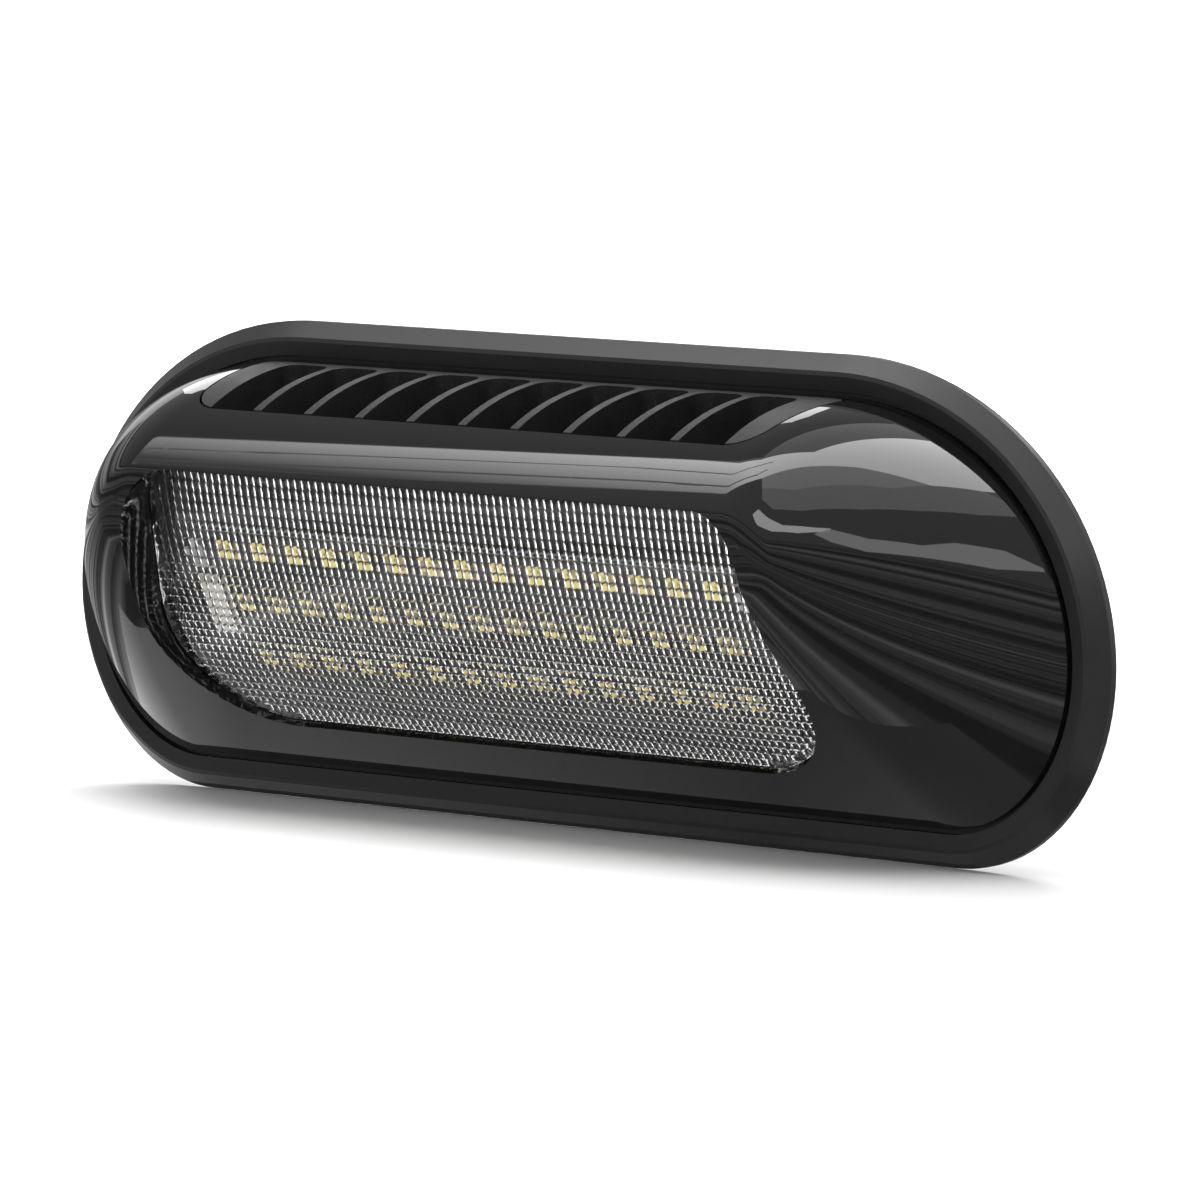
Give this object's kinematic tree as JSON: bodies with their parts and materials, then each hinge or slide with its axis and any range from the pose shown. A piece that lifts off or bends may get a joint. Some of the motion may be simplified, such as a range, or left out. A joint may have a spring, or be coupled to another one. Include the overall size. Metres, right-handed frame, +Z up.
{
  "type": "vehicle flood light",
  "caption": "Surface-mount vehicle flood light: oval trim ring, gloss hood overhanging a slanted pillow-optic lens over rows of LEDs, and a ribbed heat sink vent on top.",
  "frame": {"origin": "middle of the four mounting inserts, in the plane of the vehicle's panel", "axes": "+X along the lamp, +Y into the panel, +Z up; the lamp faces -Y"},
  "size_m": [0.216, 0.0385, 0.078],
  "materials": {
    "ring_black": "satin moulded plastic",
    "hood_black": "high gloss moulded plastic",
    "sink_black": "cast, with a fine-textured black powder coat",
    "base_black": "matt moulded plastic",
    "foam_black": "closed-cell foam",
    "seal_black": "silicone rubber",
    "insert_brass": "turned brass",
    "screw_steel": "zinc plated",
    "lens_clear": "clear moulded optic",
    "board_black": "black solder mask",
    "led_phosphor": "white package with yellow phosphor",
    "resistor_black": "chip resistor",
    "connector_white": "nylon",
    "pad_grey": "thermal gap pad",
    "driver_green": "green solder mask",
    "ferrite_grey": "pressed ferrite",
    "can_aluminium": "drawn aluminium can"
  },
  "bodies": {
    "root": {"trim_ring": "ring_black", "front_cover": "hood_black", "heat_sink": "sink_black", "lens": "lens_clear", "base_housing": "base_black", "mounting_gasket": "foam_black", "mounting_inserts": "insert_brass", "cover_seal": "seal_black", "cover_screws": "screw_steel", "heat_sink_screws": "screw_steel", "lens_gasket": "seal_black", "thermal_pad": "pad_grey", "led_board": "board_black", "led_packages": "led_phosphor", "board_resistors": "resistor_black", "board_screws": "screw_steel", "board_connector": "connector_white", "driver_board": "driver_green", "driver_standoffs": "insert_brass", "driver_screws": "screw_steel", "driver_inductor": "ferrite_grey", "driver_capacitors": "can_aluminium", "cable_grommet": "seal_black"}
  },
  "joints": []
}
